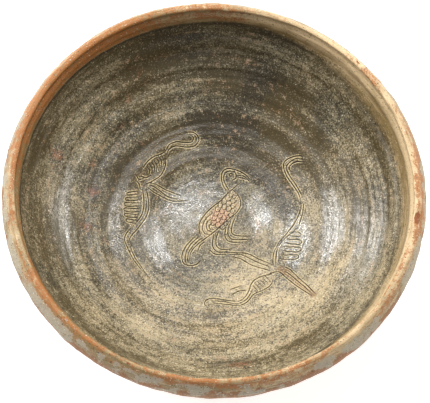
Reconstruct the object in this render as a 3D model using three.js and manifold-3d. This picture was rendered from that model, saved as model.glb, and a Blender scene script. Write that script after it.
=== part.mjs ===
// A wheel-thrown slipware bowl with a bird and leaf scrolls incised in its floor.
// Millimetres, +Z up. The origin is the centre of the foot, on the surface the bowl stands on.

import * as THREE from 'three';
import { mergeVertices } from 'three/addons/utils/BufferGeometryUtils.js';
import Module from 'manifold-3d';

// Driving dimensions
const HEIGHT = 71.5;
const DEPTH = 58;
const WIDEST_RADIUS = 121;
const WIDEST_DROP = 9.5;
const MOUTH_RADIUS = 113.4;
const LIP_WIDTH = 3.6;
const LIP_RISE = 1.1;
const FLOOR_ROUNDNESS = 2.8;
const WALL_ROUNDNESS = 1.8;

// Outside curve below the widest part, each point as inset from there and drop from there
const SHOULDER = [1.6, -5.3];
const UPPER_WALL = [3, 12];
const MIDDLE_WALL = [15, 26.5];
const LOWER_WALL = [35.5, 40];
const UNDER_WALL = [63, 50.3];

// Marks of throwing and turning
const RIDGE_START = 42;
const RIDGE_PITCH = 14.5;
const RIDGE_COUNT = 6;
const RIDGE_HEIGHT = 0.7;
const LIP_GROOVE_DROP = 3;
const LIP_GROOVE_DEPTH = 0.6;
const LIP_BEAD_DROP = 7.5;
const LIP_BEAD_HEIGHT = 0.9;

// Ring foot
const FOOT_RADIUS = 46;
const FOOT_WIDTH = 8;
const FOOT_HEIGHT = 9;
const FOOT_WAIST = 0.8;
const FOOT_RECESS = 3.8;
const FOOT_RECESS_CURVE = 4;
const FOOT_BEVEL = 1.2;

// Incised line
const LINE_WIDTH = 1.3;
const LINE_DEPTH = 0.6;
const LINE_STEP = 5;
const LINE_GAP = 1.9;
const LINE_END = 0.3;
const BLADE_LIFT = 1.2;

// Facets
const SEGMENTS = 48;
const WALL_STEPS = 31;
const LIP_STEPS = 4;
const OUTSIDE_STEPS = 11;
const CURVE_SAMPLES = 600;
const BUNDLE_SAMPLES = 8;

const wasm = await Module();
wasm.setup();

// Inside of the bowl as a superellipse: drop below the lip and radius at a turn from 0 to 90 degrees.
function insidePoint(turn) {
  const radius = MOUTH_RADIUS * Math.sin(turn) ** (2 / FLOOR_ROUNDNESS);
  const drop = DEPTH * Math.max(Math.cos(turn), 0) ** (2 / WALL_ROUNDNESS);
  return new THREE.Vector2(radius, HEIGHT - drop);
}

// Round-topped bump of the given half-width around a centre.
function bump(position, centre, halfWidth) {
  const away = Math.min(Math.abs(position - centre) / halfWidth, 1);
  return Math.cos(away * Math.PI / 2) ** 2;
}

// Thickness that the throwing ridges, lip groove and bead add at an arc length and a drop.
function throwingMarks(arcLength, drop) {
  let rise = 0;
  for (let i = 0; i < RIDGE_COUNT; i++) {
    rise += RIDGE_HEIGHT * bump(arcLength, RIDGE_START + i * RIDGE_PITCH, RIDGE_PITCH / 2);
  }
  rise += LIP_BEAD_HEIGHT * bump(drop, LIP_BEAD_DROP, LIP_BEAD_DROP - LIP_GROOVE_DROP);
  return rise - LIP_GROOVE_DEPTH * bump(drop, LIP_GROOVE_DROP, LIP_GROOVE_DROP);
}

// Inside profile from the floor's centre up to the lip, evenly stepped along its own length.
function insideProfile() {
  const quarterTurn = Math.PI / 2;
  const samples = Array.from({ length: CURVE_SAMPLES + 1 }, (_, i) => i / CURVE_SAMPLES * quarterTurn);
  const fine = new THREE.Path(samples.map(insidePoint));
  const length = fine.getLength();
  const profile = [];
  for (let i = 0; i < WALL_STEPS; i++) {
    const point = fine.getPointAt(i / WALL_STEPS);
    const tangent = fine.getTangentAt(i / WALL_STEPS);
    const marks = throwingMarks(i / WALL_STEPS * length, HEIGHT - point.y);
    point.x = i === 0 ? 0 : point.x - tangent.y * marks;
    point.y += tangent.x * marks;
    profile.push(point);
  }
  return profile;
}

// Rounded lip, from its inner edge over the crest to its outer edge.
function lipProfile() {
  const centre = MOUTH_RADIUS + LIP_WIDTH / 2;
  const points = [];
  for (let i = 0; i <= LIP_STEPS; i++) {
    const turn = Math.PI * (1 - i / LIP_STEPS);
    const radius = centre + Math.cos(turn) * LIP_WIDTH / 2;
    points.push(new THREE.Vector2(radius, HEIGHT - LIP_RISE * (1 - Math.sin(turn))));
  }
  return points;
}

// Outside from under the lip, round the widest part and in to the top of the foot.
function outsideProfile() {
  const widest = [0, 0];
  const points = [SHOULDER, widest, UPPER_WALL, MIDDLE_WALL, LOWER_WALL, UNDER_WALL].map(
    ([inset, drop]) => new THREE.Vector2(WIDEST_RADIUS - inset, HEIGHT - WIDEST_DROP - drop),
  );
  points.push(new THREE.Vector2(FOOT_RADIUS + FOOT_BEVEL, FOOT_HEIGHT + FOOT_WAIST));
  return new THREE.SplineCurve(points).getSpacedPoints(OUTSIDE_STEPS);
}

// Ring foot and the shallow recess inside it, ending on the axis.
function footProfile() {
  const inner = FOOT_RADIUS - FOOT_WIDTH;
  return [
    new THREE.Vector2(FOOT_RADIUS - FOOT_WAIST, FOOT_HEIGHT - FOOT_BEVEL),
    new THREE.Vector2(FOOT_RADIUS, FOOT_BEVEL),
    new THREE.Vector2(FOOT_RADIUS - FOOT_BEVEL, 0),
    new THREE.Vector2(inner + FOOT_BEVEL, 0),
    new THREE.Vector2(inner, FOOT_BEVEL),
    new THREE.Vector2(inner - FOOT_RECESS_CURVE / 3, FOOT_RECESS * 0.8),
    new THREE.Vector2(inner - FOOT_RECESS_CURVE, FOOT_RECESS),
    new THREE.Vector2(0, FOOT_RECESS * 0.9),
  ];
}

// Closed solid from a geometry: shared vertices merged, triangles that collapse at the axis dropped.
function toSolid(geometry) {
  geometry.deleteAttribute('normal');
  geometry.deleteAttribute('uv');
  const merged = mergeVertices(geometry, 1e-4);
  const corners = merged.index.array;
  const triangles = [];
  for (let i = 0; i < corners.length; i += 3) {
    const [a, b, c] = corners.slice(i, i + 3);
    if (a !== b && b !== c && c !== a) triangles.push(a, b, c);
  }
  return new wasm.Manifold(new wasm.Mesh({
    numProp: 3,
    vertProperties: new Float32Array(merged.attributes.position.array),
    triVerts: new Uint32Array(triangles),
  }));
}

function toGeometry(solid) {
  const mesh = solid.getMesh();
  const geometry = new THREE.BufferGeometry();
  geometry.setAttribute('position', new THREE.BufferAttribute(mesh.vertProperties, 3));
  geometry.setIndex(new THREE.BufferAttribute(mesh.triVerts, 1));
  geometry.computeVertexNormals();
  return geometry;
}

const inside = insideProfile();

function bowlBody() {
  const profile = [...inside, ...lipProfile(), ...outsideProfile(), ...footProfile()];
  const geometry = new THREE.LatheGeometry(profile.reverse(), SEGMENTS);
  geometry.rotateX(Math.PI / 2);
  return toSolid(geometry);
}

// Height of the floor at a distance from the axis.
function floorHeight(radius) {
  const next = Math.max(1, inside.findIndex((point) => point.x > radius));
  const [low, high] = [inside[next - 1], inside[next]];
  return THREE.MathUtils.mapLinear(radius, low.x, high.x, low.y, high.y);
}

// Blade of triangular section that follows a plan path along the floor and runs out at both ends.
function blade(path) {
  const steps = Math.max(2, Math.round(path.getLength() / LINE_STEP));
  const flank = LINE_WIDTH / 2 * (LINE_DEPTH + BLADE_LIFT) / LINE_DEPTH;
  const positions = [];
  const triangles = [];
  for (let i = 0; i <= steps; i++) {
    const point = path.getPointAt(i / steps);
    const tangent = path.getTangentAt(i / steps);
    const height = floorHeight(point.length());
    const sunk = i === 0 || i === steps ? LINE_END * LINE_DEPTH : LINE_DEPTH;
    positions.push(point.x, point.y, height - sunk);
    positions.push(point.x - tangent.y * flank, point.y + tangent.x * flank, height + BLADE_LIFT);
    positions.push(point.x + tangent.y * flank, point.y - tangent.x * flank, height + BLADE_LIFT);
    for (let side = 0; side < 3 && i < steps; side++) {
      const here = 3 * i + side;
      const beside = 3 * i + (side + 1) % 3;
      triangles.push(here, beside, here + 3, beside, beside + 3, here + 3);
    }
  }
  const last = 3 * steps;
  triangles.push(0, 2, 1, last, last + 1, last + 2);
  return new wasm.Manifold(new wasm.Mesh({
    numProp: 3,
    vertProperties: new Float32Array(positions),
    triVerts: new Uint32Array(triangles),
  }));
}

function smoothPath(points) {
  return new THREE.SplineCurve(points.map(([x, y]) => new THREE.Vector2(x, y)));
}

// Lines beside a path, at distances that shrink to nothing towards the far tip.
function bundle(points, count, spread) {
  const centre = smoothPath(points);
  return Array.from({ length: count }, (_, line) => {
    const offset = spread * (line - (count - 1) / 2);
    return Array.from({ length: BUNDLE_SAMPLES + 1 }, (__, i) => {
      const part = i / BUNDLE_SAMPLES;
      const point = centre.getPointAt(part);
      const tangent = centre.getTangentAt(part);
      const away = offset * Math.sqrt(Math.cos(part * Math.PI / 2));
      return [point.x - tangent.y * away, point.y + tangent.x * away];
    });
  });
}

// Teeth of a comb leaf, each a line from its spine to its row of tips.
function comb(spine, tips, count) {
  const from = smoothPath(spine);
  const to = smoothPath(tips);
  return Array.from({ length: count }, (_, i) => [
    from.getPointAt(i / (count - 1)).toArray(),
    to.getPointAt(i / (count - 1)).toArray(),
  ]);
}

// The incised figures, as plan points that each stroke passes through.
const bird = {
  head: [[7.5, 21], [5, 26], [2.5, 31.5], [4, 36.5], [8.5, 38], [15, 36], [21, 31]],
  beak: [[20, 30], [16, 32], [12.5, 31.5]],
  back: [[14, 28], [9, 24], [3, 17], [-4, 8], [-8, -1], [-6.5, -8]],
  breast: [[8, 24.5], [13.5, 20.5], [15.5, 15], [9.5, 5], [-0.5, -4], [-9, -15.5], [-11, -24.5]],
  wing: [[0, 12], [-4.5, 4.5], [-5, -3], [2, -0.5]],
  tail: [[-8.5, -6.5], [-14, -14.5], [-15.5, -21.5], [-11, -27], [-3.5, -22]],
  frontLeg: [[13.5, 8], [10.5, -3], [13, -5], [22, -4]],
  backLeg: [[3.5, -2], [2.5, -11], [5, -14.5], [12.5, -14]],
  perch: [[37, -23.5], [30, -21], [21, -17], [12, -15.5]],
};

const rightScroll = {
  upperHook: [[52, 46.5], [46, 47.5], [39.5, 41.5], [40, 35], [48.5, 23], [52, 13]],
  stem: [[52, 13], [46.5, 1.5], [38.5, -11.5], [38.5, -23]],
  hookInside: [[51.5, 44], [46, 44.5], [41.5, 39.5], [45.5, 29.5]],
  combSpine: [[47, -1], [43, -7], [40.5, -13], [40, -19.5]],
  combTips: [[52, 0.5], [53, -5.5], [52.5, -12], [51.5, -18]],
  leaf: [[40.5, -23.5], [47, -26.5], [54.5, -33.5], [63, -40.5]],
  lobeTop: [[42, -26.5], [37, -26.5], [29.5, -29.5], [26.5, -37.5], [21, -46]],
  lowerHook: [[21, -46], [12.5, -47], [3.5, -47.5], [0.5, -50], [4, -55.5]],
  lobeUnder: [[38.5, -31], [36, -37], [28.5, -41], [22.5, -49.5], [14, -50.5], [5.5, -49.5]],
};

const leftScroll = {
  upperLoop: [[-23, 54], [-17, 56], [-12.5, 52.5], [-17.5, 47.5], [-27, 46]],
  lobeRight: [[-27, 46], [-31, 39], [-32.5, 31.5], [-37, 25.5], [-43, 20]],
  lobeLeft: [[-17, 50], [-26, 49], [-32, 45], [-37, 40], [-43, 33], [-46, 23]],
  ribFeet: [[-44.5, 29], [-41, 36], [-36, 39.5]],
  ribHeads: [[-38.5, 26], [-34, 32], [-32.5, 37]],
  leaf: [[-41.5, 21.5], [-33.5, 19], [-24, 15], [-15, 14]],
  combSpine: [[-44.5, 18], [-43.5, 10.5], [-43.5, 3], [-45.5, -6.5]],
  combTips: [[-52, 16], [-53, 9], [-52.5, 1.5], [-49.5, -6.5]],
  stemRight: [[-43, 20], [-39.5, 12], [-39.5, 1], [-46.5, -12], [-47.5, -17]],
  stemLeft: [[-46, -8], [-50, -15], [-43.5, -27.5], [-34, -39.5]],
};

const RIB_COUNT = 4;
const RIGHT_TEETH = 7;
const LEFT_TEETH = 8;
const BUNDLE_LINES = 2;

function strokes() {
  const { perch, ...birdLines } = bird;
  const { combSpine, combTips, leaf, ...rightLines } = rightScroll;
  const { ribFeet, ribHeads, ...leftRest } = leftScroll;
  const { combSpine: leftSpine, combTips: leftTips, leaf: leftLeaf, ...leftLines } = leftRest;
  return [
    ...Object.values(birdLines),
    ...Object.values(rightLines),
    ...Object.values(leftLines),
    ...[perch, leaf, leftLeaf].flatMap((points) => bundle(points, BUNDLE_LINES, LINE_GAP)),
    ...comb(combSpine, combTips, RIGHT_TEETH),
    ...comb(leftSpine, leftTips, LEFT_TEETH),
    ...comb(ribFeet, ribHeads, RIB_COUNT),
  ];
}

function engraved(body) {
  return strokes().reduce((solid, line) => solid.subtract(blade(smoothPath(line))), body);
}

const earthenware = new THREE.MeshStandardMaterial({ color: 0x6b6650, roughness: 0.55, metalness: 0 });
const bowl = new THREE.Mesh(toGeometry(engraved(bowlBody())), earthenware);
bowl.name = 'bowl';

const slipwareBowl = new THREE.Group();
slipwareBowl.add(bowl);

export default slipwareBowl;
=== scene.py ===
import bpy
import numpy as np
from mathutils import Matrix, Vector
from mathutils.geometry import delaunay_2d_cdt


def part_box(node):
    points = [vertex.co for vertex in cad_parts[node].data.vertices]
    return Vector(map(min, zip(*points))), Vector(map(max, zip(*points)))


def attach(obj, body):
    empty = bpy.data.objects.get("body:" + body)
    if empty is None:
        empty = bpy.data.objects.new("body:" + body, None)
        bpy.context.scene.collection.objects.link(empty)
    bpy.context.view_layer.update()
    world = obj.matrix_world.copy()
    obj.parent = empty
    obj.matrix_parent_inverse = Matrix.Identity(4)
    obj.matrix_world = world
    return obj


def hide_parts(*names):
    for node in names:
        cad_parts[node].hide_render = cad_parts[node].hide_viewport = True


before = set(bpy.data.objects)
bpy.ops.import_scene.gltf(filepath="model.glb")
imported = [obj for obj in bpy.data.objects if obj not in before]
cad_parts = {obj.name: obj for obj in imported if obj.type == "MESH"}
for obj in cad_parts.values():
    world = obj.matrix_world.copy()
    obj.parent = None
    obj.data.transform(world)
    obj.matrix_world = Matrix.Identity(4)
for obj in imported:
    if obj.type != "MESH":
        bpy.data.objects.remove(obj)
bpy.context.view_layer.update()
mm = 0.001


def hexColor(code):
    # sRGB hex to linear: the usual curve, a straight foot and a 2.4 power above it
    srgb = np.array([int(code[i:i + 2], 16) for i in (1, 3, 5)]) / 255
    linear = np.where(srgb <= 0.04045, srgb / 12.92, ((srgb + 0.055) / 1.055) ** 2.4)
    return (*linear.tolist(), 1.0)


def addNode(tree, kind, links, out=0, **settings):
    made = tree.nodes.new(kind)
    for name, value in settings.items():
        setattr(made, name, value)
    for socket, value in links.items():
        if isinstance(value, bpy.types.NodeSocket):
            tree.links.new(value, made.inputs[socket])
        else:
            made.inputs[socket].default_value = value
    return made.outputs[out]


def smoothStep(low, high, value):
    # 0 below low, 1 above high, an S-curve between
    share = np.clip((value - low) / (high - low), 0, 1)
    return share * share * (3 - 2 * share)


def softNoise(points, size, seed, waves=28):
    # sum of seeded plane waves of about one wavelength, in random directions, with unit spread
    rng = np.random.default_rng(seed)
    direction = rng.normal(size=(3, waves))
    direction /= np.linalg.norm(direction, axis=0)
    frequency = 2 * np.pi / size * rng.uniform(0.6, 1.4, waves)
    phase = rng.uniform(0, 2 * np.pi, waves)
    return np.sin(points @ (direction * frequency) + phase).sum(axis=1) * np.sqrt(2 / waves)


def bump(position, centre, halfWidth):
    # round-topped bump: squared cosine of the distance from its centre
    away = np.minimum(np.abs(position - centre) / halfWidth, 1)
    return np.cos(away * np.pi / 2) ** 2


def evenSteps(points, step):
    # points at even distances along a polyline
    length = np.r_[0, np.cumsum(np.hypot(*np.diff(points, axis=0).T))]
    count = max(2, int(round(length[-1] / step)))
    at = np.linspace(0, length[-1], count + 1)
    return np.column_stack([np.interp(at, length, axis) for axis in points.T])


def smoothCurve(points, step):
    # cubic through every point, its slope there taken from the points on both sides
    points = np.asarray(points, float)
    if len(points) == 2:
        return evenSteps(points, step)
    knots = np.r_[0, np.cumsum(np.hypot(*np.diff(points, axis=0).T) ** 0.5)]
    slopes = np.gradient(points, knots, axis=0)
    at = np.linspace(0, knots[-1], 40 * len(points))
    span = np.clip(np.searchsorted(knots, at, side="right") - 1, 0, len(points) - 2)
    width = np.diff(knots)[span][:, None]
    t = (at[:, None] - knots[span][:, None]) / width
    start = (1 + 2 * t) * (1 - t) ** 2 * points[span] + t * (1 - t) ** 2 * width * slopes[span]
    end = t * t * (3 - 2 * t) * points[span + 1] + t * t * (t - 1) * width * slopes[span + 1]
    return evenSteps(start + end, step)


# Camera: the photograph looks down at the lip from 67 degrees, turned a little clockwise
view = {
    "elevation": 67.2,       # degrees
    "roll": 5.6,             # degrees, right end lower
    "distance": 1320 * mm,   # from the lip's centre
    "imageWidth": 430,       # px
    "imageHeight": 403,      # px
    "lipCentre": (215.2, 187.4),   # px in the photograph
    "pxPerMm": 1.7635,
}


def makeCamera():
    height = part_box("bowl")[1][2]
    tilt = np.radians(90 - view["elevation"])
    look = Vector((0, -np.sin(tilt), np.cos(tilt)))           # from the lip's centre to the camera
    turn = Matrix.Rotation(np.radians(view["roll"]), 3, look)
    right = turn @ Vector((1, 0, 0))
    up = turn @ Vector((0, np.cos(tilt), np.sin(tilt)))
    pixel = mm / view["pxPerMm"]
    aside = (view["imageWidth"] / 2 - view["lipCentre"][0]) * pixel
    above = (view["lipCentre"][1] - view["imageHeight"] / 2) * pixel
    target = Vector((0, 0, height)) + right * aside + up * above
    data = bpy.data.cameras.new("camera")
    data.sensor_fit = "HORIZONTAL"
    data.lens = data.sensor_width * view["distance"] / (view["imageWidth"] * pixel)
    camera = bpy.data.objects.new("camera", data)
    axes = Matrix((right, up, look)).transposed().to_4x4()
    camera.matrix_world = Matrix.Translation(target + look * view["distance"]) @ axes
    bpy.context.scene.collection.objects.link(camera)
    bpy.context.scene.camera = camera


makeCamera()
print("camera set at the photograph's angle")


# The bowl's form, in millimetres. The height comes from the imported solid, the rest follows its section.
bowl = {
    "height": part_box("bowl")[1][2] / mm,
    "widest": 121.0,
    "depth": 58,
    "mouth": 113.4,
    "floorRoundness": 2.8,
    "wallRoundness": 1.8,
    "lipWidth": 3.6,
    "lipRise": 1.1,
    "widestDrop": 9.5,
    "outside": [(1.6, -5.3), (0, 0), (3, 12), (15, 26.5), (35.5, 40), (63, 50.3)],   # inset and drop
    "footRadius": 46,
    "footWidth": 8,
    "footHeight": 9,
    "footRecess": 3.8,
    "tondoRadius": 78,        # finely meshed floor with the incised figures
    "segments": 336,
    "wallStep": 1.25,
    "lipStep": 0.55,
    "outsideStep": 1.7,
    "footStep": 0.9,
    "undersideStep": 2.6,
    "curveSteps": {"inside": 0.1, "outside": 0.3, "ring": 0.2, "under": 0.5},
}

# Marks that throwing and turning left, in millimetres
throwing = {
    "ridgeStart": 42, "ridgePitch": 14.5, "ridgeCount": 6, "ridgeHeight": 0.8,
    "ridgeChange": 0.3, "ridgeChangeSize": 120,      # share by which the height varies, and over what length
    "finePitch": 4.6, "fineHeight": 0.15, "fineChange": 0.8, "fineChangeSize": 60,
    "wander": 1.1, "wanderSize": 170,
    "grooveDrop": 3, "grooveDepth": 0.6,
    "beadDrop": 7.5, "beadHeight": 0.9,
    "wobble": 0.18, "wobbleSize": 210, "dents": 0.10, "dentSize": 13,
    "turningPitch": 6.5, "turningHeight": 0.16, "turningWanderSize": 150,
}


def bowlProfile():
    # the section from the floor's centre over the lip to the underside's centre, as stretches of points,
    # each a radius and a height
    turn = np.linspace(0, np.pi / 2, 3000)
    inside = np.column_stack([
        bowl["mouth"] * np.sin(turn) ** (2 / bowl["floorRoundness"]),
        bowl["height"] - bowl["lipRise"] - (bowl["depth"] - bowl["lipRise"])
        * np.cos(turn) ** (2 / bowl["wallRoundness"]),
    ])
    turn = np.linspace(np.pi, 0, 200)
    lip = np.column_stack([
        bowl["mouth"] + bowl["lipWidth"] / 2 * (1 + np.cos(turn)),
        bowl["height"] - bowl["lipRise"] * (1 - np.sin(turn)),
    ])
    wall = [(bowl["widest"] - inset, bowl["height"] - bowl["widestDrop"] - drop)
            for inset, drop in bowl["outside"]]
    foot = bowl["footRadius"]
    inner = foot - bowl["footWidth"]
    top, recess = bowl["footHeight"], bowl["footRecess"]
    wallIntoFoot = [(foot + 2.4, top + 1), (foot + 0.2, top - 0.6), (foot - 0.7, top - 2.4)]
    footEdge = [(foot - 0.1, 1.6), (foot - 1.4, 0.05), (foot - 3, 0)]
    footInside = [(inner + 3, 0), (inner + 1.3, 0.1), (inner, 1.4), (inner - 1.4, recess - 0.7),
                  (inner - 4, recess)]
    steps = bowl["curveSteps"]
    outside = smoothCurve([lip[-1], *wall, *wallIntoFoot], steps["outside"])
    ring = smoothCurve([outside[-1], *footEdge, *footInside], steps["ring"])
    under = smoothCurve([ring[-1], (inner / 2, recess - 0.1), (0, recess - 0.5)], steps["under"])
    return inside, lip, outside, ring, under


def bowlSection():
    # joins the stretches, each at its own even step, and marks where on the bowl every point lies
    inside, lip, outside, ring, under = bowlProfile()
    fine = evenSteps(inside, bowl["curveSteps"]["inside"])
    length = np.r_[0, np.cumsum(np.hypot(*np.diff(fine, axis=0).T))]
    start = np.searchsorted(fine[:, 0], bowl["tondoRadius"])
    stretches = [
        evenSteps(fine[start:], bowl["wallStep"]),
        evenSteps(lip, bowl["lipStep"])[1:],
        evenSteps(outside, bowl["outsideStep"])[1:],
        evenSteps(ring, bowl["footStep"])[1:],
        evenSteps(under, bowl["undersideStep"])[1:],
    ]
    section = np.vstack(stretches)
    part = np.repeat(np.arange(len(stretches)), [len(s) for s in stretches])
    along = length[start] + np.r_[0, np.cumsum(np.hypot(*np.diff(section, axis=0).T))]
    slope = np.gradient(section, along, axis=0)
    slope /= np.linalg.norm(slope, axis=1)[:, None]
    normal = np.column_stack([-slope[:, 1], slope[:, 0]])      # points out of the clay
    floor = {"radius": fine[:, 0], "height": fine[:, 1], "along": length}
    return section, normal, along, part, floor


def throwingMarks(along, drop, points):
    # height of the ridges, lip groove and bead along the inside, wandering a little round the bowl
    wander = along + throwing["wander"] * softNoise(points, throwing["wanderSize"], 11)
    rise = sum(bump(wander, throwing["ridgeStart"] + i * throwing["ridgePitch"], throwing["ridgePitch"] / 2)
               for i in range(throwing["ridgeCount"]))
    change = 1 + throwing["ridgeChange"] * softNoise(points, throwing["ridgeChangeSize"], 12)
    rise = throwing["ridgeHeight"] * rise * change
    fine = np.sin(2 * np.pi * wander / throwing["finePitch"]) * smoothStep(20, 45, along)
    change = 1 + throwing["fineChange"] * softNoise(points, throwing["fineChangeSize"], 13)
    rise += throwing["fineHeight"] * fine * change
    beadHalf = throwing["beadDrop"] - throwing["grooveDrop"]
    rise += throwing["beadHeight"] * bump(drop, throwing["beadDrop"], beadHalf)
    rise -= throwing["grooveDepth"] * bump(drop, throwing["grooveDrop"], throwing["grooveDrop"])
    return rise


def unevenness(points):
    # slow wobble of the whole wall and small shallow dents
    wobble = throwing["wobble"] * softNoise(points, throwing["wobbleSize"], 21)
    return wobble + throwing["dents"] * softNoise(points, throwing["dentSize"], 22)


# The incised figures: plan points in millimetres that each stroke passes through
incising = {
    "lineWidth": 0.72,
    "lineDepth": 0.5,
    "burrHeight": 0.16,
    "sampleStep": 0.85,
    "rows": (0, 0.28, 0.58, 1.1),       # sampled distances to each side of a stroke
    "groundStep": 1.6,
    "leastGap": 0.24,                   # rows of crossing strokes closer than this share a point
}

bird = {
    "head": [(7.5, 22.5), (4.5, 26.5), (3, 31.5), (3.5, 35), (6, 37), (9.5, 37), (14.5, 35.5), (18, 33.5),
             (21, 30)],
    "headInside": [(8.5, 23.5), (6, 27), (4.5, 31), (5, 34), (7, 35.5), (10, 35.5)],
    "beak": [(12, 33), (15, 33.5), (17.5, 32.5), (20, 30)],
    "beakUnder": [(12.5, 32), (16, 32), (18, 31)],
    "cheek": [(10, 36), (11.5, 34), (11.5, 31.5), (9.5, 30)],
    "back": [(14, 28.5), (8, 22), (4, 16.5), (0, 12.5), (-4, 7.5), (-7, 1.5), (-7, -3), (-5.5, -7.5)],
    "breast": [(10.5, 24), (14, 21), (16, 16), (14.5, 11), (10.5, 6.5), (5.5, 0.5), (1.5, -4), (-3.5, -9),
               (-7.5, -13), (-10.5, -18), (-11, -24.5)],
    "wing": [(-1, 7.5), (-3.5, 4.5), (-5, 0.5), (-5, -3), (-3, -5.5), (-1, -5.5)],
    "wingMiddle": [(-0.5, 4.5), (-2.5, 2.5), (-3, -0.5), (-2, -3), (0.5, -3.5)],
    "wingInside": [(0.5, 2.5), (-1, 0.5), (-1, -2), (1, -2)],
    "tail": [(-8.5, -7), (-11.5, -11), (-14, -15), (-15.5, -21), (-14, -25.5), (-10, -26.5),
             (-7, -25.5), (-3.5, -22)],
    "tailSecond": [(-7, -8), (-10.5, -12), (-12.5, -16), (-13.5, -21.5), (-12.5, -25.5)],
    "tailThird": [(-5.5, -8.5), (-9, -13), (-11.5, -17.5), (-12, -22), (-11.5, -25.5)],
    "tailLast": [(-3, -10.5), (-5.5, -13), (-6.5, -16.5)],
    "frontLeg": [(14, 8.5), (12.5, 3.5), (12, -1), (12.5, -3.5), (14.5, -4.5), (22.5, -4.5)],
    "frontLegMiddle": [(11, 4), (10, -1), (10.5, -5), (12.5, -7), (23, -6.5)],
    "frontLegUnder": [(8.5, 0), (8.5, -5.5), (10, -8), (12.5, -9), (18, -8.5)],
    "backLeg": [(4.5, -3), (3.5, -8), (4, -12), (6.5, -14), (13, -13.5)],
    "backLegMiddle": [(2, -5), (1.5, -10), (2.5, -14), (5.5, -16), (10, -15.5)],
    "backLegUnder": [(0.5, -15.5), (3.5, -17.5), (10, -17)],
    "perchTop": [(10, -16), (16, -15.5), (22.5, -15.5), (28.5, -18), (37, -21.5)],
    "perchMiddle": [(12, -17), (19, -16.5), (25.5, -19), (31.5, -21.5), (37, -23.5)],
    "perchUnder": [(14, -18.5), (18.5, -19), (24.5, -22), (32, -24.5), (37, -25.5)],
}
birdEye = {"centre": (8.4, 33.4), "radius": 0.9}
birdScales = {"neck": (11.2, 21.8), "rump": (4.2, 2.2), "rows": 8, "size": 2.7, "halfWidth": (2.2, 6.0, 4.6)}

rightScroll = {
    "hook": [(51.5, 46.5), (46.5, 47), (42, 45.5), (39.5, 43), (39.5, 39.5), (41.5, 35), (46, 29), (50, 23),
             (51.5, 17.5)],
    "hookMiddle": [(51.5, 44.5), (46.5, 45.5), (43, 43.5), (41, 40), (43, 35.5), (47.5, 29.5), (52, 22.5)],
    "hookInside": [(50.5, 43.5), (46.5, 43.5), (43, 41), (43.5, 37.5)],
    "stem": [(51.5, 17.5), (51, 12), (48, 4.5), (44, -2), (40, -8.5), (38, -14.5), (38, -21)],
    "stemMiddle": [(53, 18), (53, 13), (52, 7.5), (51, 3.5)],
    "stemInside": [(51, 3), (46.5, -1.5), (42, -6.5), (40, -11.5), (39.5, -17), (39.5, -21.5)],
    "join": [(35.5, -28.5), (38.5, -26.5), (41.5, -26), (45, -28)],
    "leafTop": [(43, -22), (47.5, -24), (52.5, -28.5), (58, -34), (64, -40.5)],
    "leafMiddle": [(45, -25.5), (49.5, -28.5), (54.5, -33), (60, -38.5)],
    "leafUnder": [(42.5, -26.5), (46, -29.5), (51, -33.5), (56.5, -38), (62, -41.5)],
    "lobeTop": [(38, -27.5), (33.5, -29), (29, -31.5), (26.5, -35), (25, -40.5), (21.5, -46), (18.5, -47)],
    "lowerHook": [(18.5, -47), (11.5, -46.5), (4, -46.5), (1, -48), (0.5, -50.5), (4, -53.5)],
    "lobeUnder": [(39, -29), (38, -34.5), (33.5, -38.5), (28.5, -41.5), (25, -47), (21, -49.5),
                  (13, -49.5), (4, -49.5), (3, -52)],
    "lobeVein": [(27.5, -38.5), (24.5, -45), (19.5, -48.5), (10.5, -47.5), (4, -48)],
    "spur": [(23.5, -39.5), (20, -40), (16.5, -42)],
    "spurBelow": [(20, -37), (17, -38.5), (15, -39.5)],
}
leftScroll = {
    "upperLoop": [(-23, 55.5), (-16, 56.5), (-12.5, 53), (-14.5, 49), (-19, 47.5), (-26.5, 47), (-30, 44),
                  (-31, 39.5)],
    "lobeRight": [(-31, 39.5), (-31, 33.5), (-33, 28), (-37, 24), (-41.5, 21)],
    "loopInside": [(-18.5, 55), (-16, 53.5), (-16.5, 51), (-21, 50), (-26, 49.5), (-30, 47), (-31.5, 43)],
    "lobeLeft": [(-32, 42.5), (-35, 40.5), (-38.5, 38.5), (-42, 34.5), (-44, 30.5)],
    "lobeFoot": [(-44.5, 25.5), (-41.5, 25.5), (-38.5, 27.5)],
    "fork": [(-47.5, 25.5), (-45.5, 23.5), (-43, 24.5)],
    "forkBelow": [(-47, 22.5), (-45, 20.5), (-44, 17.5)],
    "leafTop": [(-38.5, 22.5), (-34.5, 21.5), (-30.5, 20), (-27, 19), (-21, 17.5)],
    "leafMiddle": [(-39, 21), (-35, 19.5), (-31, 17.5), (-27.5, 15.5), (-20.5, 14.5)],
    "leafUnder": [(-40, 19.5), (-36.5, 17), (-32, 15.5), (-28.5, 14), (-24, 13), (-16, 14.5)],
    "stemRight": [(-41, 19), (-39, 12.5), (-38, 6.5), (-39, 0.5), (-42.5, -6.5), (-46.5, -13), (-47.5, -18)],
    "stemInside": [(-43, 19), (-41.5, 12), (-41, 6), (-42, 0.5), (-45.5, -5.5)],
    "stemLeft": [(-46.5, -7), (-49, -11), (-50, -15.5), (-47.5, -21), (-43, -28), (-34, -37)],
    "stemLeftInside": [(-46.5, -18.5), (-43, -25.5), (-38.5, -31), (-33.5, -37)],
}
leafStain = {"path": [(42.5, -24), (47, -27), (54.5, -33.5), (63, -41)], "halfWidth": 2.4}
combs = {
    "right": {"spine": [(47, 0), (44.5, -5.5), (42.5, -10.5), (42.5, -17.5)],
              "tips": [(52, -0.5), (53, -6), (53, -11.5), (51.5, -17.5)], "fingers": 4},
    "left": {"spine": [(-45, 16.5), (-43.5, 9), (-43, 2.5), (-44, -4)],
             "tips": [(-51, 14), (-52, 7), (-51.5, 1.5), (-49.5, -4)], "fingers": 6},
}
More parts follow.
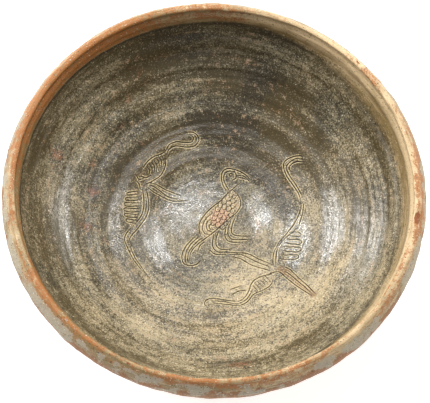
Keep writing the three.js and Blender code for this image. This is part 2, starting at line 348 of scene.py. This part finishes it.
ribs = {"feet": [(-34, 40.5), (-38, 37.5), (-41.5, 32)], "heads": [(-32.5, 33), (-36, 29.5), (-40, 27)],
        "count": 7, "bend": 0.2}
lobeHatch = {"from": (35.5, -30.5), "to": (29, -37.5), "count": 6, "length": 4.2}


def combFingers(comb):
    # hairpins from the spine round each tip and back
    edges = np.linspace(0, 1, 2 * comb["fingers"])
    spine = smoothCurve(comb["spine"], 0.1)
    tips = smoothCurve(comb["tips"], 0.1)
    spine = spine[(edges * (len(spine) - 1)).astype(int)]
    tips = tips[(edges * (len(tips) - 1)).astype(int)]
    middle = (tips[0::2] + tips[1::2]) / 2
    reach = middle - (spine[0::2] + spine[1::2]) / 2
    ends = middle + 0.9 * reach / np.linalg.norm(reach, axis=1)[:, None]
    return [[spine[2 * i], tips[2 * i], ends[i], tips[2 * i + 1], spine[2 * i + 1]]
            for i in range(comb["fingers"])]


def scaleArcs():
    # rows of half-round scales down the breast, each as deep as a row, the rows half a scale out of step
    neck, rump = np.array(birdScales["neck"]), np.array(birdScales["rump"])
    step = (rump - neck) / (birdScales["rows"] - 1)
    across = np.array([-step[1], step[0]]) / np.linalg.norm(step)
    turn = np.linspace(0, np.pi, 9)
    arcs = []
    for row in range(birdScales["rows"]):
        half = np.interp(row / (birdScales["rows"] - 1), (0, 0.5, 1), birdScales["halfWidth"])
        count = max(1, int(round(2 * half / birdScales["size"])))
        radius = half / count
        for i in range(count):
            middle = (2 * i + 1) * radius - half
            arcs.append(neck + row * step + np.outer(middle + radius * np.cos(turn), across)
                        + np.outer(np.sin(turn) ** 0.7, step))
    return arcs


def ribLines():
    # curved ribs across the upper leaf, from its outer edge to its inner one
    feet = smoothCurve(ribs["feet"], 0.1)
    heads = smoothCurve(ribs["heads"], 0.1)
    share = np.linspace(0, 1, ribs["count"])
    feet = feet[(share * (len(feet) - 1)).astype(int)]
    heads = heads[(share * (len(heads) - 1)).astype(int)]
    span = heads - feet
    middle = (feet + heads) / 2 + ribs["bend"] * np.column_stack([-span[:, 1], span[:, 0]])
    return [list(rib) for rib in zip(feet, middle, heads)]


def lobeHatches():
    # short cuts across the lower leaf
    start, end = np.array(lobeHatch["from"]), np.array(lobeHatch["to"])
    along = (end - start) / np.linalg.norm(end - start)
    half = np.array([-along[1], along[0]]) * lobeHatch["length"] / 2
    places = start + np.linspace(0, 1, lobeHatch["count"])[:, None] * (end - start)
    return [[place - half, place + half] for place in places]


def incisedStrokes():
    # every stroke as evenly spaced plan points, with its weight, which eases off towards both ends
    turn = np.linspace(0, 2 * np.pi, 13)
    eye = np.array(birdEye["centre"]) + birdEye["radius"] * np.column_stack([np.cos(turn), np.sin(turn)])
    bold = [*bird.values(), *rightScroll.values(), *leftScroll.values(),
            *combFingers(combs["right"]), *combFingers(combs["left"])]
    fine = [*scaleArcs(), *ribLines(), *lobeHatches(), eye]
    strokes = []
    for weight, lines in ((1.0, bold), (0.85, fine)):
        for line in lines:
            points = smoothCurve(line, incising["sampleStep"])
            share = np.linspace(0, 1, len(points))
            ends = 0.6 + 0.4 * smoothStep(0, 0.15, np.minimum(share, 1 - share))
            strokes.append((points, weight * ends))
    return strokes


def strokeDistances(plan, strokes):
    # for each plan point, the least distance to any stroke in half-widths, and the least plain distance
    starts = np.vstack([points[:-1] for points, _ in strokes])
    spans = np.vstack([np.diff(points, axis=0) for points, _ in strokes])
    weights = np.concatenate([(w[:-1] + w[1:]) / 2 for _, w in strokes])
    squared = (spans ** 2).sum(axis=1)
    nearest = np.empty(len(plan))
    inWidths = np.empty(len(plan))
    for block in np.array_split(np.arange(len(plan)), max(1, len(plan) // 1500)):
        away = plan[block][:, None, :] - starts[None]
        share = np.clip((away * spans).sum(axis=2) / squared, 0, 1)
        gap = np.linalg.norm(away - share[..., None] * spans, axis=2)
        nearest[block] = gap.min(axis=1)
        inWidths[block] = (gap / (weights * incising["lineWidth"] / 2)).min(axis=1)
    return inWidths, nearest


def tondoPlan(strokes, rim):
    # plan points of the floor: rows along every stroke, an open ground of staggered rows, and the shared rim
    rows = []
    for points, _ in strokes:
        slope = np.gradient(points, axis=0)
        side = np.column_stack([-slope[:, 1], slope[:, 0]]) / np.linalg.norm(slope, axis=1)[:, None]
        offsets = [sign * offset for offset in incising["rows"] for sign in ((1, -1) if offset else (1,))]
        rows += [points + side * offset for offset in offsets]
    lined = np.vstack(rows)
    _, kept = np.unique(np.round(lined / incising["leastGap"]), axis=0, return_index=True)
    lined = lined[np.sort(kept)]
    step = incising["groundStep"]
    reach = bowl["tondoRadius"] - step * 0.6
    x, y = np.meshgrid(np.arange(-reach, reach, step), np.arange(-reach, reach, step * 0.866))
    x = x + np.where(np.arange(len(x))[:, None] % 2, step / 2, 0)
    ground = np.column_stack([x.ravel(), y.ravel()])
    ground = ground[np.hypot(*ground.T) < reach]
    _, gap = strokeDistances(ground, strokes)
    ground = ground[gap > incising["rows"][-1] + step * 0.45]
    lined = lined[np.hypot(*lined.T) < reach]
    return np.vstack([rim, lined, ground])


print("building the bowl's section and strokes")
section, sectionNormal, sectionAlong, sectionPart, floorCurve = bowlSection()
strokes = incisedStrokes()


def bowlSurface():
    # the wall is a grid of section points by angle, and the floor inside its first ring a mesh of plan points
    count = bowl["segments"]
    angle = np.arange(count) * 2 * np.pi / count
    rings = len(section) - 1                                  # the last section point is the axis below
    radius = np.repeat(section[:rings, 0], count)
    turn = np.tile(angle, rings)
    wall = {
        "radius": radius, "height": np.repeat(section[:rings, 1], count), "turn": turn,
        "along": np.repeat(sectionAlong[:rings], count), "part": np.repeat(sectionPart[:rings], count),
        "normal": np.repeat(sectionNormal[:rings], count, axis=0),
    }
    rim = np.column_stack([np.cos(angle), np.sin(angle)]) * section[0, 0]
    plan, _, faces, _, _, _ = delaunay_2d_cdt([Vector(p) for p in tondoPlan(strokes, rim)], [], [], 0, 1e-6)
    plan = np.array([tuple(p) for p in plan])
    disc = np.array(faces)
    floorRadius = np.hypot(*plan.T)
    slope = np.gradient(floorCurve["height"], floorCurve["radius"])
    slope = np.interp(floorRadius, floorCurve["radius"], slope)
    floor = {
        "radius": floorRadius, "height": np.interp(floorRadius, floorCurve["radius"], floorCurve["height"]),
        "turn": np.arctan2(plan[:, 1], plan[:, 0]),
        "along": np.interp(floorRadius, floorCurve["radius"], floorCurve["along"]),
        "part": np.zeros(len(plan), int),
        "normal": np.column_stack([-slope, np.ones(len(slope))]) / np.hypot(slope, 1)[:, None],
    }
    # plan points that are the wall's first ring take its numbers, the others follow the wall's points
    onRim = floorRadius > section[0, 0] - 1e-4
    ringNumber = np.round(floor["turn"] / (2 * np.pi) * count).astype(int) % count
    inner = ~onRim
    number = np.where(onRim, ringNumber, 0)
    number[inner] = rings * count + np.arange(inner.sum())
    data = {key: np.concatenate([wall[key], floor[key][inner]]) for key in wall}
    axis = len(data["radius"])
    bottom = {"radius": 0, "height": section[-1, 1], "turn": 0, "along": sectionAlong[-1],
              "part": sectionPart[-1], "normal": (0, -1)}
    for key, value in bottom.items():
        data[key] = np.concatenate([data[key], np.array([value], dtype=data[key].dtype)])
    here = (np.arange(rings - 1)[:, None] * count + np.arange(count)).ravel()
    beside = (np.arange(rings - 1)[:, None] * count + (np.arange(count) + 1) % count).ravel()
    quads = np.column_stack([here, here + count, beside + count, beside])
    last = (rings - 1) * count + np.arange(count)
    cap = np.column_stack([last, np.full(count, axis), (rings - 1) * count + (np.arange(count) + 1) % count])
    return data, quads, np.vstack([number[disc], cap])


data, quads, triangles = bowlSurface()
turn = data["turn"]
basePoints = np.column_stack([data["radius"] * np.cos(turn), data["radius"] * np.sin(turn), data["height"]])
drop = bowl["height"] - data["height"]
inside = data["part"] == 0
lip = data["part"] == 1
outside = data["part"] == 2
under = data["part"] >= 3
print("surface of", len(basePoints), "points and", 2 * len(quads) + len(triangles), "triangles")


# Wear and staining, as soft patches: angle in degrees, radius in millimetres, half-arc, half-width, strength
patina = {
    "dark": [
        (65, 47, 50, 10, 0.9), (75, 64, 40, 11, 0.8), (80, 90, 18, 9, 0.8), (52, 78, 34, 11, 0.7),
        (118, 102, 18, 8, 0.6), (122, 62, 24, 4, 0.6), (160, 63, 34, 4, 0.5), (60, 107, 80, 5, 0.2),
        (196, 97, 16, 9, 0.75), (168, 107, 8, 4, 0.9), (218, 66, 20, 5, 0.6), (300, 100, 22, 7, 0.7),
        (18, 105, 28, 5, 0.6), (352, 108, 24, 4, 0.5), (240, 104, 28, 6, 0.6), (273, 60, 12, 8, 0.4),
        (10, 86, 24, 9, 0.5), (130, 50, 24, 8, 0.5), (288, 92, 24, 8, 0.6), (355, 66, 16, 8, 0.4),
    ],
    "light": [
        (300, 38, 40, 15, 0.8), (310, 66, 26, 15, 0.8), (250, 52, 18, 10, 0.6), (245, 79, 24, 9, 0.9),
        (156, 88, 18, 13, 0.75), (150, 100, 22, 9, 0.5), (172, 86, 12, 12, 0.5), (112, 72, 17, 5, 0.45),
        (108, 84, 19, 5, 0.4), (262, 92, 14, 9, 0.3), (328, 70, 16, 14, 0.6), (75, 104, 6, 6, 0.8),
        (180, 92, 9, 10, 0.5), (8, 56, 16, 9, 0.2), (140, 103, 14, 8, 0.55), (225, 92, 12, 6, 0.5),
        (72, 104, 34, 6, 0.55), (100, 106, 20, 5, 0.3),
    ],
    # real gloss and painted sheen: patches where the glaze shines, given a glossy coat and painted grey where
    # the lights reflect
    "glossAndSheen": [
        (150, 20, 80, 16, 0.9), (200, 34, 36, 10, 1.0), (20, 30, 34, 10, 0.9), (355, 49, 22, 14, 1.0),
        (347, 93, 26, 14, 0.7), (188, 57, 28, 8, 0.5), (190, 88, 26, 8, 0.8), (80, 92, 14, 8, 0.3),
        (2, 72, 24, 13, 0.8),
    ],
    "rust": [
        (172, 72, 3, 3.5, 1.0), (165, 97, 3, 4, 1.0), (160, 78, 3, 3, 0.9), (190, 74, 3, 4, 1.0),
        (197, 64, 2.5, 3, 0.7), (136, 66, 2.5, 3, 0.8), (122, 100, 3, 5, 0.7), (284, 96, 6, 4, 0.9),
        (258, 78, 3, 3, 0.6), (130, 88, 3, 3, 0.7), (115, 58, 3, 2.5, 0.6), (140, 80, 3, 3, 0.6),
    ],
    "clay": [
        (150, 115, 62, 14, 1.0), (225, 115, 40, 14, 0.8), (275, 115, 45, 14, 0.8), (335, 115, 26, 14, 0.6),
        (4, 119, 34, 6, 1.0), (43, 115, 5, 9, 0.8), (95, 115, 14, 14, 0.6), (60, 115, 30, 14, 0.3),
    ],
    # cream on the rim, partly real slip and partly a painted highlight along the right of the lip
    "pale": [
        (0, 112, 75, 14, 1.0), (65, 112, 40, 14, 0.9), (300, 112, 45, 14, 0.6), (98, 112, 20, 14, 0.5),
    ],
}


def patches(kind, edge):
    # the strongest of soft round-topped patches, each long in angle and narrow across, with an uneven edge
    total = np.zeros(len(basePoints))
    for angle, radius, halfArc, halfWidth, strength in patina[kind]:
        turnAway = np.abs((np.degrees(turn) - angle + 180) % 360 - 180) / halfArc
        away = np.hypot(turnAway, (data["radius"] - radius) / halfWidth)
        total = np.maximum(total, strength * (1 - smoothStep(0.2, 1.3, away + 0.25 * edge)))
    return total


def streakPoints():
    # coordinates that squeeze a pattern across the wall and draw it out along the turning
    spread = 60 / (data["radius"] + 12)
    return np.column_stack([basePoints[:, 0] * spread, basePoints[:, 1] * spread, 5 * data["along"]])


def insideOutline(plan, outline):
    # even-odd rule: a point is inside where a line to its right crosses the outline an odd number of times
    start, end = outline, np.roll(outline, -1, axis=0)
    x, y = plan[:, :1], plan[:, 1:]
    spans = (start[:, 1] > y) != (end[:, 1] > y)
    rise = np.where(start[:, 1] == end[:, 1], 1e-9, end[:, 1] - start[:, 1])
    crossing = start[:, 0] + (y - start[:, 1]) / rise * (end[:, 0] - start[:, 0])
    return (spans & (x < crossing)).sum(axis=1) % 2 == 1


# Chips out of the lip, as the photograph shows them: angle in degrees, half-length and depth in millimetres
chips = {
    "places": [(357.4, 5.5, 0.8), (49, 2.4, 0.3), (251, 2.8, 0.25)],
    "narrowness": 0.5,       # half-width as a share of the half-length
    "lipShare": 0.7,         # how far across the lip from its inner edge
}


def chipDepth(edge):
    # each chip a soft hollow, drawn out along the lip
    depth = np.zeros(len(basePoints))
    lipRadius = bowl["mouth"] + bowl["lipWidth"] * chips["lipShare"]
    for angle, half, deep in chips["places"]:
        outward = np.array([np.cos(np.radians(angle)), np.sin(np.radians(angle))])
        offset = basePoints[:, :2] - outward * lipRadius
        along = offset @ np.array([-outward[1], outward[0]]) / half
        across = offset @ outward / (half * chips["narrowness"])
        depth = np.maximum(depth, deep * (1 - smoothStep(0.3, 1, np.hypot(along, across) + 0.15 * edge)))
    return depth * (lip | (outside & (drop < 8)))


# How the slip and glaze have worn, with some painted light and shade: angles in degrees, drops below the top
# of the lip and sizes in millimetres
wear = {
    "streakSizes": (55, 24), "mottleSizes": (16, 7), "slowSize": 45,
    "slip": {"base": 0.36, "lit": 0.15, "light": 0.36, "dark": 0.42, "streak": 0.11, "mottle": 0.06},
    "paintedLightAngle": 305, "paintedLightRadii": (10, 60),                   # painted light and shade: lighter on this side, partly as the light falls and partly the slip kept better
    "rimDepth": 13.5, "rimDeeper": 8, "rimAngle": 5,         # the rim's own colour, deeper on the right
    "softAngle": 20,                                         # where its lower edge is softest
    "wallDrop": 12,                                          # below it the wall, above it the rim
    "crestDepth": 2.2, "crestDeeper": 9, "crestAngle": 155,  # bare clay, far down on the left
    "crustSizes": (26, 9), "crustAngle": 200, "crustHeight": 0.3,   # lime crust, thickest on the left
    "grooveShadeInside": [(0.6, 3.4, 0.9)],                         # strength, drop and half-width of a dark line: painted shade in the groove under the lip
    # two dark lines outside: a painted shadow just under the lip, and a darker band lower down
    "darkLinesOutside": [(0.6, 1.8, 1.0), (0.5, 8, 1.6)],
    "featherEnd": (-12, -5),                                 # the body's fill fades out towards the tail
    "pinkCentre": (5, 5.5), "pinkRadii": (4, 9),             # on the bird's breast
    "lipRoughness": 0.05, "lipRoughSize": 6,
}


def facing(angle):
    # 1 towards the angle round the bowl, -1 away from it
    return np.cos(turn - np.radians(angle))


def twoNoises(points, sizes, seed):
    # a coarse noise with a finer one over it
    return 0.6 * softNoise(points, sizes[0], seed) + 0.4 * softNoise(points, sizes[1], seed + 1)


def darkLines(lines):
    return sum(strength * bump(drop, at, halfWidth) for strength, at, halfWidth in lines)


streakAt = streakPoints()
streak = twoNoises(streakAt, wear["streakSizes"], 31)
mottle = twoNoises(basePoints, wear["mottleSizes"], 33)
slow = softNoise(basePoints, wear["slowSize"], 35)

# distances to the strokes and to the stained leaf, far away outside the floor
figured = inside & (data["radius"] < bowl["tondoRadius"] + 1)
plan = basePoints[figured][:, :2]
inWidths = np.full(len(basePoints), 9.0)
inWidths[figured], _ = strokeDistances(plan, strokes)
leafPath = smoothCurve(leafStain["path"], 1)
leafGap = np.full(len(basePoints), 9.0)
_, leafGap[figured] = strokeDistances(plan, [(leafPath, np.ones(len(leafPath)))])
body = np.vstack([smoothCurve(bird["back"], 0.5), smoothCurve(bird["breast"], 0.5)[::-1]])
feathered = np.zeros(len(basePoints))
feathered[figured] = insideOutline(plan, body)
pinkAway = np.hypot(*(basePoints[:, :2] - wear["pinkCentre"]).T)

chipped = chipDepth(mottle)
lightPatches = patches("light", streak)
glossAndSheenPatches = patches("glossAndSheen", streak)
palePatches = patches("pale", mottle)
onWall = inside & (drop > wear["wallDrop"])
# painted light and shade: lighter towards that side and darker opposite, growing out from the floor's middle
lit = facing(wear["paintedLightAngle"]) * smoothStep(*wear["paintedLightRadii"], data["radius"])
slip = wear["slip"]
slipWornAndLit = (slip["base"] + slip["lit"] * lit + slip["light"] * lightPatches
        - slip["dark"] * patches("dark", streak) + slip["streak"] * streak + slip["mottle"] * mottle)

# the rim's own colour fades out downwards, and the bare crest lies inside it
rimReach = wear["rimDepth"] + wear["rimDeeper"] * smoothStep(0.1, 0.9, facing(wear["rimAngle"]))
softSide = smoothStep(0.1, 0.9, facing(wear["softAngle"]))
rimEnd = rimReach * (1 + 0.15 * softSide)
rimFull = rimReach * (0.8 - 0.3 * softSide)
rimZone = np.where(inside, smoothStep(rimEnd, rimFull, drop + 0.5 * streak), 1.0)
# painted shade with dirt: a dark band in the crease where the wall meets the rim, wider and fainter on the
# right
rimCreaseShadeAndDirt = bump(drop, rimReach * 0.95, 2.4 + 4 * softSide) * (0.8 - 0.35 * softSide)
crestReach = wear["crestDepth"] + wear["crestDeeper"] * smoothStep(0, 0.5, facing(wear["crestAngle"]))
crestInside = np.where(inside, smoothStep(crestReach + 1, crestReach - 1, drop), 0)
crest = crestInside + lip + outside * smoothStep(6.5, 3, drop + 1.2 * mottle)
crustCoarse, crustFine = wear["crustSizes"]
crustNoise = (0.7 * softNoise(basePoints, crustCoarse, 41) + 0.5 * softNoise(basePoints, crustFine, 42)
              + 0.3 * facing(wear["crustAngle"]) + 0.2)

surface = {
    "light": np.clip(slipWornAndLit, -0.4, 1),
    # warmer on the side of the painted light, greyer under the painted sheen
    "warm": np.clip(0.3 - 0.2 * smoothStep(45, 25, data["radius"]) + 0.3 * lit + 0.15 * slow
                    + 0.35 * lightPatches - 0.5 * glossAndSheenPatches, 0, 1),
    "brown": np.clip(0.5 + 0.3 * slow + 0.35 * smoothStep(70, 100, data["radius"]), 0, 1),
    # real gloss and painted sheen: drives the glossy coat and a grey sheen colour
    "glossAndSheen": np.where(onWall, np.clip(glossAndSheenPatches + 0.08 * streak, 0, 1),
                     np.where(inside, 0.25 + 0.3 * palePatches + 0.15 * mottle, 0)),
    "rust": patches("rust", mottle) * inside,
    "feather": feathered * smoothStep(*wear["featherEnd"], basePoints[:, 1]),
    "pink": feathered * (1 - smoothStep(*wear["pinkRadii"], pinkAway)),
    "leaf": 1 - smoothStep(0.75, 1.1, leafGap / leafStain["halfWidth"]),
    # the raised burr beside each cut; its pale colour is partly a painted highlight on the cut's edges
    "burrAndHighlight": bump(inWidths, 1.6, 0.75),
    "incised": 1 - smoothStep(0.35, 1.15, inWidths),
    "rim": rimZone,
    # cream share of the rim, paler towards the lip's top; partly a painted highlight on the right
    "pale": np.where(outside, 0.15, palePatches * (0.3 + 0.7 * smoothStep(12, 4, drop)))
            + 0.12 * mottle + 0.22 * streak,
    "clay": np.clip(crest * (0.75 * patches("clay", mottle) + 0.12 * mottle), 0, 1),
    "scar": smoothStep(0.05, 0.3, chipped),
    "crust": outside * smoothStep(1, 3, drop) * smoothStep(28, 5, drop) * smoothStep(-0.5, 0.9, crustNoise),
    "bare": np.where(under, 1.0, outside * smoothStep(3, 8, drop + 1.5 * mottle)),
    # painted shade and dirt: dark lines in the grooves and creases of the rim
    "shadeAndDirt": np.where(inside, rimCreaseShadeAndDirt + darkLines(wear["grooveShadeInside"]),
                     outside * darkLines(wear["darkLinesOutside"])),
    "speckle": np.where(onWall, np.clip(0.42 + 0.22 * slipWornAndLit, 0.36, 0.54), 0.46),
}

# how far the surface stands off the plain section
rise = unevenness(basePoints) * smoothStep(0, 20, data["radius"]) * np.where(under, 0.0, 1.0)
rise += np.where(inside, throwingMarks(data["along"], drop, basePoints), 0)
turningAt = data["along"] + softNoise(basePoints, throwing["turningWanderSize"], 23)
turning = np.sin(2 * np.pi * turningAt / throwing["turningPitch"])
rise += np.where(outside, throwing["turningHeight"] * turning * smoothStep(6, 14, drop), 0)
lipRough = wear["lipRoughness"] * softNoise(basePoints, wear["lipRoughSize"], 24)
rise += np.where(lip | outside, lipRough, 0) + wear["crustHeight"] * surface["crust"] - chipped
rise += incising["burrHeight"] * surface["burrAndHighlight"] - incising["lineDepth"] * (1 - smoothStep(0, 1.15, inWidths))
offset = data["normal"] * rise[:, None]
shapedRadius = data["radius"] + offset[:, 0]
points = np.column_stack([shapedRadius * np.cos(turn), shapedRadius * np.sin(turn),
                          np.maximum(data["height"] + offset[:, 1], 0)]) * mm


def makeMesh(name, points, quads, triangles):
    mesh = bpy.data.meshes.new(name)
    corners = np.concatenate([quads.ravel(), triangles.ravel()]).astype(np.int32)
    sizes = np.r_[np.full(len(quads), 4), np.full(len(triangles), 3)]
    mesh.vertices.add(len(points))
    mesh.vertices.foreach_set("co", points.astype(np.float32).ravel())
    mesh.loops.add(len(corners))
    mesh.loops.foreach_set("vertex_index", corners)
    mesh.polygons.add(len(sizes))
    mesh.polygons.foreach_set("loop_start", np.r_[0, np.cumsum(sizes)[:-1]].astype(np.int32))
    mesh.polygons.foreach_set("use_smooth", np.ones(len(sizes), bool))
    mesh.update(calc_edges=True)
    mesh.validate()
    made = bpy.data.objects.new(name, mesh)
    bpy.context.scene.collection.objects.link(made)
    return made


bowlPiece = makeMesh("slippedBowl", points, quads, triangles)
for name, values in surface.items():
    layer = bowlPiece.data.attributes.new(name, "FLOAT", "POINT")
    layer.data.foreach_set("value", np.asarray(values, np.float32))
layer = bowlPiece.data.attributes.new("streakAt", "FLOAT_VECTOR", "POINT")
layer.data.foreach_set("vector", (streakAt * mm).astype(np.float32).ravel())
print("bowl surface made")


# Slipped and lead-glazed earthenware, thrown, incised and long buried: a sandy two-tone of pale slip and dark
# stain under a satin glaze, with orange clay at the worn lip and a lime crust outside
glaze = {
    "stain": "#393224", "olive": "#4a3f27", "slip": "#928970", "sand": "#bdab88", "glossAndSheen": "#86857d",
    "rust": "#875238", "feather": "#cdb58f", "pink": "#c88f76", "leaf": "#76593b", "burrAndHighlight": "#cbb98f",
    "incised": "#20180f", "tan": "#836e48", "cream": "#cfb58d", "clay": "#985d2a", "bare": "#7e4f28",
    "scar": "#7c411a", "crust": "#9c9482", "shadeAndDirt": "#2e2415", "fleck": "#e9dfc4", "pit": "#15120d",
    "roughness": 0.34,
    # coordinates, size in mm, detail, roughness of the detail. Grain, flecks and pits are drawn coarser than
    # the real sand, so that they show.
    "patterns": {
        "grain": ("place", 0.85, 2, 0.7), "fleck": ("place", 0.8, 1, 0.5), "pit": ("place", 0.88, 1, 0.5),
        "blotch": ("place", 3.2, 4, 0.6), "smear": ("along", 16, 4, 0.6), "rings": ("along", 6, 3, 0.6),
    },
    "blends": {        # attribute, pattern that breaks it and how far, its two colours
        "slipTone": ("warm", "blotch", 0.8, "slip", "sand"),
        "rimTone": ("pale", "rings", 1.6, "tan", "cream"),
    },
    "layers": [        # attribute, patterns that break its edge and how far, ramp, most, colour, roughness
        ("brown", {"blotch": 1.0}, 0.3, 0.8, 0.9, "olive", 0.36),
        ("light", {"grain": 2.3, "smear": 0.9, "blotch": 1.0, "rings": 0.6}, 0, 1.05, 1.0, "slipTone", 0.42),
        # painted sheen: grey where the glaze reflects the lights
        ("glossAndSheen", {"blotch": 0.9, "grain": 1.8}, 0.2, 1.1, 0.6, "glossAndSheen", 0.3),
        ("rust", {"grain": 2.6, "blotch": 2.0}, 0.45, 1.3, 0.6, "rust", 0.5),
        ("feather", {"grain": 2.4, "blotch": 1.2}, 0.4, 1.5, 0.75, "feather", 0.4),
        ("pink", {"grain": 2.0, "blotch": 1.0}, 0.3, 1.2, 0.6, "pink", 0.45),
        ("leaf", {"grain": 0.8, "blotch": 0.6}, 0.3, 1.0, 0.8, "leaf", 0.5),
        ("rim", {"smear": 0.9, "grain": 1.2, "blotch": 0.8}, 0.1, 0.95, 1.0, "rimTone", 0.46),
        ("clay", {"blotch": 1.8, "smear": 1.4, "grain": 1.4}, 0.25, 0.7, 0.9, "clay", 0.6),
        ("scar", {"blotch": 0.8, "grain": 0.6}, 0.35, 0.6, 0.9, "scar", 0.7),
        ("bare", {"blotch": 1.6, "grain": 1.2}, 0.35, 0.75, 0.85, "bare", 0.7),
        ("crust", {"blotch": 2.4, "smear": 1.2, "grain": 1.6}, 0.4, 0.75, 0.85, "crust", 0.8),
        # painted shade and dirt in the grooves and creases
        ("shadeAndDirt", {"grain": 1.2, "smear": 1.2}, 0.3, 0.8, 0.8, "shadeAndDirt", 0.6),
        ("speckle", {"fleck": 2.6}, 0.9, 1.2, 0.7, "fleck", 0.3),
        ("speckle", {"pit": 2.6}, 0.82, 1.1, 0.9, "pit", 0.6),
        # painted highlight along the cut's edges, with the burr's pale slip
        ("burrAndHighlight", {"grain": 1.8}, 0.1, 1.0, 0.8, "burrAndHighlight", 0.36),
        ("incised", {"grain": 0.5}, 0.3, 0.9, 0.92, "incised", 0.6),
    ],
    "relief": {"fleck": 1, "pit": -1, "rings": 2, "blotch": 3},    # patterns that raise or sink the surface
    "bumpHeight": 0.12,        # mm
    "bumpStrength": 0.7,
    "refraction": 1.5,
    "shine": 0.3,              # of the worn surface, as a specular level
    "glossRoughness": 0.16,    # of the glaze where it has kept its shine
    "glossBreak": 1.2,
    "glossRamp": (0.15, 0.9),
}


def glazeMaterial():
    material = bpy.data.materials.new("slippedLeadGlazedEarthenware")
    material.use_nodes = True
    tree = material.node_tree
    tree.nodes.clear()
    coordinates = {
        "place": addNode(tree, "ShaderNodeTexCoord", {}, "Object"),
        "along": addNode(tree, "ShaderNodeAttribute", {}, "Vector", attribute_name="streakAt"),
    }
    read = {name: addNode(tree, "ShaderNodeAttribute", {}, "Fac", attribute_name=name) for name in surface}
    tones = {name: hexColor(code) for name, code in glaze.items() if isinstance(code, str)}
    pattern = {}
    for name, (where, size, detail, rough) in glaze["patterns"].items():
        noise = addNode(tree, "ShaderNodeTexNoise", {"Vector": coordinates[where], "Scale": 1 / (size * mm),
                                                     "Detail": detail, "Roughness": rough})
        pattern[name] = addNode(tree, "ShaderNodeMath", {0: noise, 1: 0.5}, operation="SUBTRACT")
    for name, (share, edge, reach, first, second) in glaze["blends"].items():
        share = addNode(tree, "ShaderNodeMath", {0: pattern[edge], 1: reach, 2: read[share]},
                        operation="MULTIPLY_ADD", use_clamp=True)
        tones[name] = addNode(tree, "ShaderNodeMix", {0: share, 6: tones[first], 7: tones[second]}, 2,
                              data_type="RGBA")
    color, dull = tones["stain"], glaze["roughness"]
    for name, edges, low, high, most, tone, rough in glaze["layers"]:
        shown = read[name]
        for edge, reach in edges.items():
            shown = addNode(tree, "ShaderNodeMath", {0: pattern[edge], 1: reach, 2: shown},
                            operation="MULTIPLY_ADD")
        shown = addNode(tree, "ShaderNodeMapRange", {"Value": shown, "From Min": low, "From Max": high,
                                                     "To Max": most}, interpolation_type="SMOOTHSTEP")
        color = addNode(tree, "ShaderNodeMix", {0: shown, 6: color, 7: tones[tone]}, 2, data_type="RGBA")
        dull = addNode(tree, "ShaderNodeMix", {0: shown, 2: dull, 3: rough})
    height = 0.0
    for name, reach in glaze["relief"].items():
        height = addNode(tree, "ShaderNodeMath", {0: pattern[name], 1: reach, 2: height},
                         operation="MULTIPLY_ADD")
    relief = addNode(tree, "ShaderNodeBump", {"Height": height, "Strength": glaze["bumpStrength"],
                                              "Distance": glaze["bumpHeight"] * mm})
    low, high = glaze["glossRamp"]
    kept = addNode(tree, "ShaderNodeMath", {0: pattern["blotch"], 1: glaze["glossBreak"], 2: read["glossAndSheen"]},
                   operation="MULTIPLY_ADD")
    gloss = addNode(tree, "ShaderNodeMapRange", {"Value": kept, "From Min": low, "From Max": high},
                    interpolation_type="SMOOTHSTEP")
    shader = addNode(tree, "ShaderNodeBsdfPrincipled", {
        "Base Color": color, "Roughness": dull, "Normal": relief,
        "IOR": glaze["refraction"], "Specular IOR Level": glaze["shine"],
        "Coat Weight": gloss, "Coat Roughness": glaze["glossRoughness"], "Coat Normal": relief,
    })
    tree.links.new(shader, tree.nodes.new("ShaderNodeOutputMaterial").inputs["Surface"])
    return material


bowlPiece.data.materials.append(glazeMaterial())
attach(bowlPiece, "root")
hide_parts("bowl")
print("bowl glazed")


# Pale studio: a lit white sheet underneath and soft lights round and above, the strongest on the left
studio = {
    "floor": "#ffffff",
    "floorSize": 6.0,
    "floorGap": 0.1,         # mm under the foot, so that the two faces don't coincide
    "floorGlow": 0.55,       # of the sheet itself, so that shadows stay faint
    "floorRoughness": 0.9,
    "world": "#ffffff",
    "worldStrength": 0.3,
    "aim": (0, 0, 0.04),     # metres, the bowl's middle
    "lights": [   # name, place, size, power, colour
        ("backLeft", (-0.5, 0.75, 1.58), 0.35, 22, "#ffffff"),
        ("backRight", (0.36, 0.95, 1.48), 0.3, 17, "#ffffff"),
        ("left", (-1.5, 0.55, 0.75), 0.8, 24, "#ffffff"),
        ("right", (1.5, 0.7, 0.8), 0.7, 13, "#fff9f0"),
        ("front", (0.3, -1.7, 1.4), 1.2, 6, "#ffffff"),
    ],
}


def makeStudio():
    half, low = studio["floorSize"] / 2, -studio["floorGap"] * mm
    corners = np.array([(-half, -half, low), (half, -half, low), (half, half, low), (-half, half, low)])
    sheet = makeMesh("floor", corners, np.array([[0, 1, 2, 3]]), np.zeros((0, 3), int))
    paper = bpy.data.materials.new("litWhiteBackgroundSheet")
    paper.use_nodes = True
    shader = paper.node_tree.nodes["Principled BSDF"]
    shader.inputs["Base Color"].default_value = hexColor(studio["floor"])
    shader.inputs["Roughness"].default_value = studio["floorRoughness"]
    shader.inputs["Emission Color"].default_value = hexColor(studio["floor"])
    shader.inputs["Emission Strength"].default_value = studio["floorGlow"]
    sheet.data.materials.append(paper)
    world = bpy.data.worlds.new("studio")
    world.use_nodes = True
    sky = world.node_tree.nodes["Background"]
    sky.inputs["Color"].default_value = hexColor(studio["world"])
    sky.inputs["Strength"].default_value = studio["worldStrength"]
    bpy.context.scene.world = world
    for name, place, size, power, color in studio["lights"]:
        lamp = bpy.data.lights.new(name, "AREA")
        lamp.shape = "DISK"
        lamp.size = size
        lamp.energy = power
        lamp.color = hexColor(color)[:3]
        light = bpy.data.objects.new(name, lamp)
        light.location = place
        light.rotation_euler = (Vector(studio["aim"]) - Vector(place)).to_track_quat("-Z", "Y").to_euler()
        bpy.context.scene.collection.objects.link(light)
    bpy.context.scene.view_settings.view_transform = "Standard"


makeStudio()
print("studio set")
